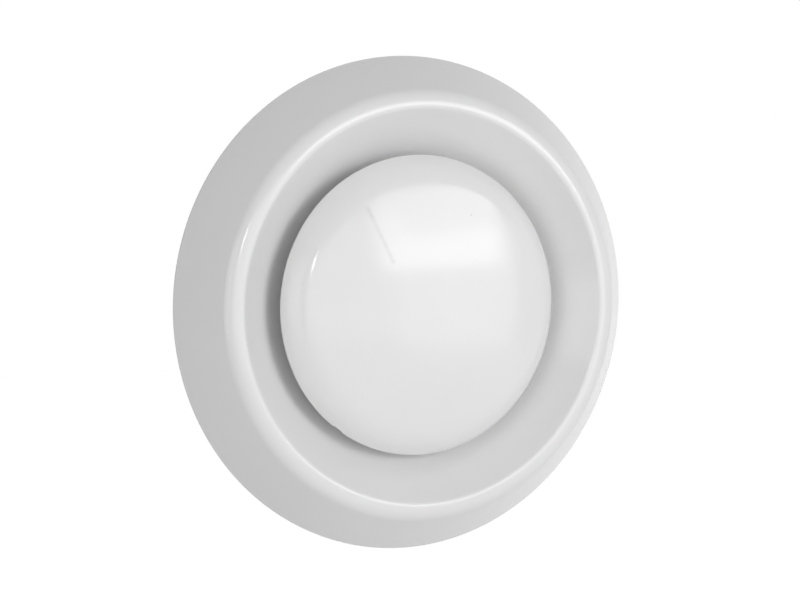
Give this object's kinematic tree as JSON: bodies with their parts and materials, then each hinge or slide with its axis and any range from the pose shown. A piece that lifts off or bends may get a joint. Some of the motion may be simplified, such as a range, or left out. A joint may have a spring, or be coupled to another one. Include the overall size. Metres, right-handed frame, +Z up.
{
  "type": "round disc-valve vent grille",
  "caption": "Round wall or ceiling vent with a domed disc in a funnel collar, screwed in or out to set the air flow, on a bayonet sleeve for a duct.",
  "frame": {"origin": "on the valve's axis, in the plane of the wall that the flange rests on", "axes": "+Y along the axis into the duct, so the front faces -Y; +Z up; +X to the right seen from the front"},
  "size_m": [0.164, 0.0716, 0.164],
  "materials": {
    "face_plastic": "glossy white injection-moulded plastic",
    "sleeve_plastic": "satin white moulded plastic",
    "foam": "closed-cell foam",
    "zinc_steel": "zinc-plated steel"
  },
  "bodies": {
    "mount": {"mounting_sleeve": "sleeve_plastic", "wall_gasket": "foam"},
    "face": {"collar": "face_plastic", "spider": "face_plastic", "collar_seal": "foam", "hub_nut": "zinc_steel"},
    "lock_slide": {"lock_washer": "zinc_steel"},
    "lock": {"lock_nut": "zinc_steel"},
    "stop_slide": {"stop_washer": "zinc_steel"},
    "plate": {"disc": "face_plastic", "spindle": "zinc_steel", "boss_nut": "zinc_steel", "stop_clip": "zinc_steel"}
  },
  "joints": [
    {"name": "bayonet_turn", "type": "hinge", "parent": "mount", "child": "face", "pos_m": [0, 0, 0], "axis": [0, -1, 0], "range_deg": [0, 38]},
    {"name": "lock_back", "type": "slide", "parent": "face", "child": "lock_slide", "axis": [0, -1, 0], "range_m": [-0.005, 0]},
    {"name": "lock_turn", "type": "hinge", "parent": "lock_slide", "child": "lock", "pos_m": [0, 0, 0], "axis": [0, -1, 0], "range_deg": [-1441, 0]},
    {"name": "disc_travel", "type": "slide", "parent": "face", "child": "stop_slide", "axis": [0, -1, 0], "range_m": [-0.0072, 0.012]},
    {"name": "disc_turn", "type": "hinge", "parent": "stop_slide", "child": "plate", "pos_m": [0, 0, 0], "axis": [0, -1, 0], "range_deg": [-2073, 3450]}
  ],
  "couplings": [
    {"joint": "lock_turn", "follows": "lock_back", "rad_per_m": 5026.5},
    {"joint": "disc_travel", "follows": "disc_turn", "m_per_rad": 0.00019894}
  ]
}
